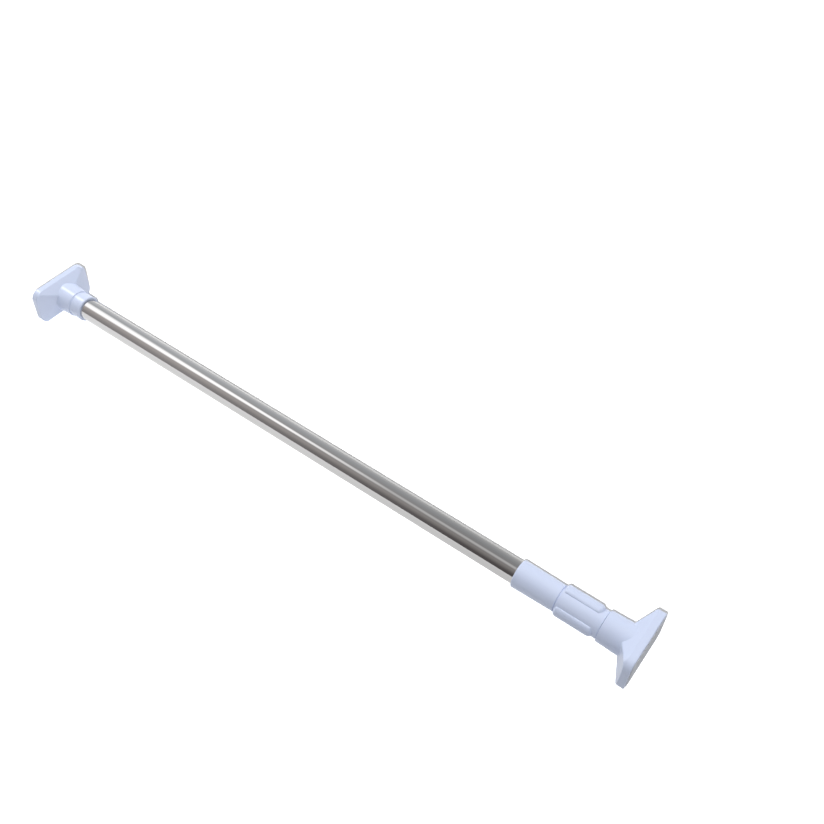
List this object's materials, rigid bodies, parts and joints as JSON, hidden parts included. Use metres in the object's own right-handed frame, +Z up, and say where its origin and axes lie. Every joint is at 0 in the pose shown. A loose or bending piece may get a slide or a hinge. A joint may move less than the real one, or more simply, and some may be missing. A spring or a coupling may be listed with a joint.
{
  "type": "spring tension rod",
  "caption": "Telescopic tension rod with a polished steel tube, rectangular wall feet with sloped faces, a sprung foot and a ribbed lock nut that clamps the inner tube.",
  "frame": {"origin": "centre of the bounding box's bottom face, on the surface that the feet's long edges rest on, halfway along the collapsed rod", "axes": "+X along the rod from the sprung left foot to the lock and the right foot, +Y to the back, +Z up"},
  "size_m": [0.7, 0.066, 0.04],
  "materials": {
    "white_plastic": "satin cool white",
    "tube_steel": "mirror polished",
    "spring_steel": "bare drawn wire",
    "screw_steel": "zinc plated",
    "bush_plastic": "natural moulded",
    "grip_rubber": "matt soft grey"
  },
  "bodies": {
    "outer_rod": {"outer_tube": "tube_steel", "guide_bush": "white_plastic", "foot_spring": "spring_steel", "spring_seat": "bush_plastic", "stop_bush": "bush_plastic", "collet_sleeve": "white_plastic", "split_collet": "bush_plastic"},
    "spring_foot": {"left_foot": "white_plastic", "left_grip_pad": "grip_rubber", "left_foot_screw": "screw_steel", "foot_stem": "bush_plastic", "stop_washer": "screw_steel", "stop_screw": "screw_steel"},
    "clamp": {"thrust_ring": "bush_plastic"},
    "nut": {"lock_nut": "white_plastic"},
    "inner_rod": {"inner_tube": "tube_steel", "inner_guide": "bush_plastic", "tube_plug": "bush_plastic"},
    "swivel_foot": {"right_foot": "white_plastic", "right_grip_pad": "grip_rubber", "right_foot_screw": "screw_steel", "swivel_washer": "bush_plastic"}
  },
  "joints": [
    {"name": "foot_press", "type": "slide", "parent": "outer_rod", "child": "spring_foot", "axis": [1, 0, 0], "range_m": [0, 0.01], "stiffness_N_per_m": 4000, "springref_m": -0.02, "deforming": ["foot_spring"]},
    {"name": "clamp_slide", "type": "slide", "parent": "outer_rod", "child": "clamp", "axis": [-1, 0, 0], "range_m": [0, 0.00081]},
    {"name": "nut_turn", "type": "hinge", "parent": "clamp", "child": "nut", "pos_m": [0.293, 0, 0.02], "axis": [-1, 0, 0], "range_deg": [0, 240]},
    {"name": "telescope", "type": "slide", "parent": "outer_rod", "child": "inner_rod", "axis": [1, 0, 0], "range_m": [0, 0.42]},
    {"name": "foot_swivel", "type": "hinge", "parent": "inner_rod", "child": "swivel_foot", "pos_m": [0.34, 0, 0.02], "axis": [1, 0, 0], "continuous": true}
  ],
  "couplings": [
    {"joint": "clamp_slide", "follows": "nut_turn", "m_per_rad": 0.00019099}
  ]
}
